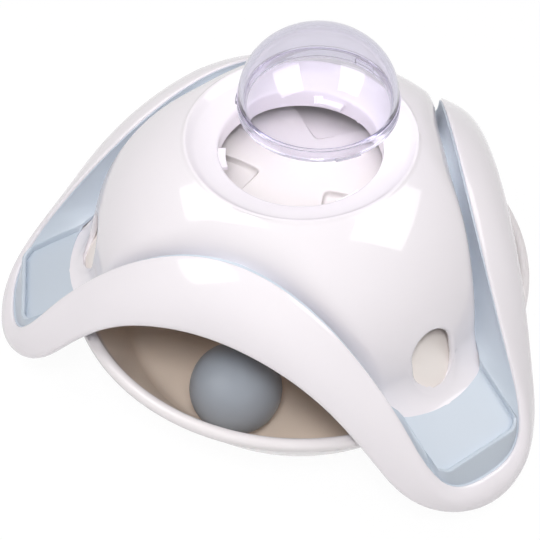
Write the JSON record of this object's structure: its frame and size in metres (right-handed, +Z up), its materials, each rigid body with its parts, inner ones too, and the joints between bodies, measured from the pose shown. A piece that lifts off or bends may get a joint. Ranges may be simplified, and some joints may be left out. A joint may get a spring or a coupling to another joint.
{
  "type": "cat food dispenser toy",
  "caption": "Three-lobed treat dispenser: a domed hopper with a clear cap drops dry food through oval outlets into a grey track, over a weighted bowl with a loose ball.",
  "frame": {"origin": "middle of the flat foot that the bowl rests on", "axes": "+Z up along the hopper's axis, one lobe pointing along -Y"},
  "size_m": [0.23, 0.2213, 0.1629],
  "materials": {
    "clear_plastic": "clear polished moulding",
    "white_plastic": "glossy white moulding",
    "cream_plastic": "glossy warm white moulding",
    "grey_blue_plastic": "satin grey-blue moulding",
    "ball_plastic": "satin grey-blue ball",
    "steel": "plain steel"
  },
  "bodies": {
    "body": {"hopper_dome": "white_plastic", "outer_skirt": "white_plastic", "track_liner": "grey_blue_plastic", "hopper_floor": "white_plastic", "centre_post": "white_plastic", "tie_bolt": "steel", "base_bowl": "cream_plastic", "counterweight": "steel", "base_cover": "cream_plastic", "base_screws": "steel"},
    "ball": {"track_ball": "ball_plastic"},
    "cap": {"clear_cap": "clear_plastic"}
  },
  "joints": [
    {"name": "ball_orbit", "type": "hinge", "parent": "body", "child": "ball", "pos_m": [0, 0, 0], "axis": [0, 0, 1], "continuous": true},
    {"name": "cap_lift", "type": "slide", "parent": "body", "child": "cap", "axis": [0.2024, -0.1582, 0.9664], "range_m": [-0.0245, 0.03]}
  ]
}
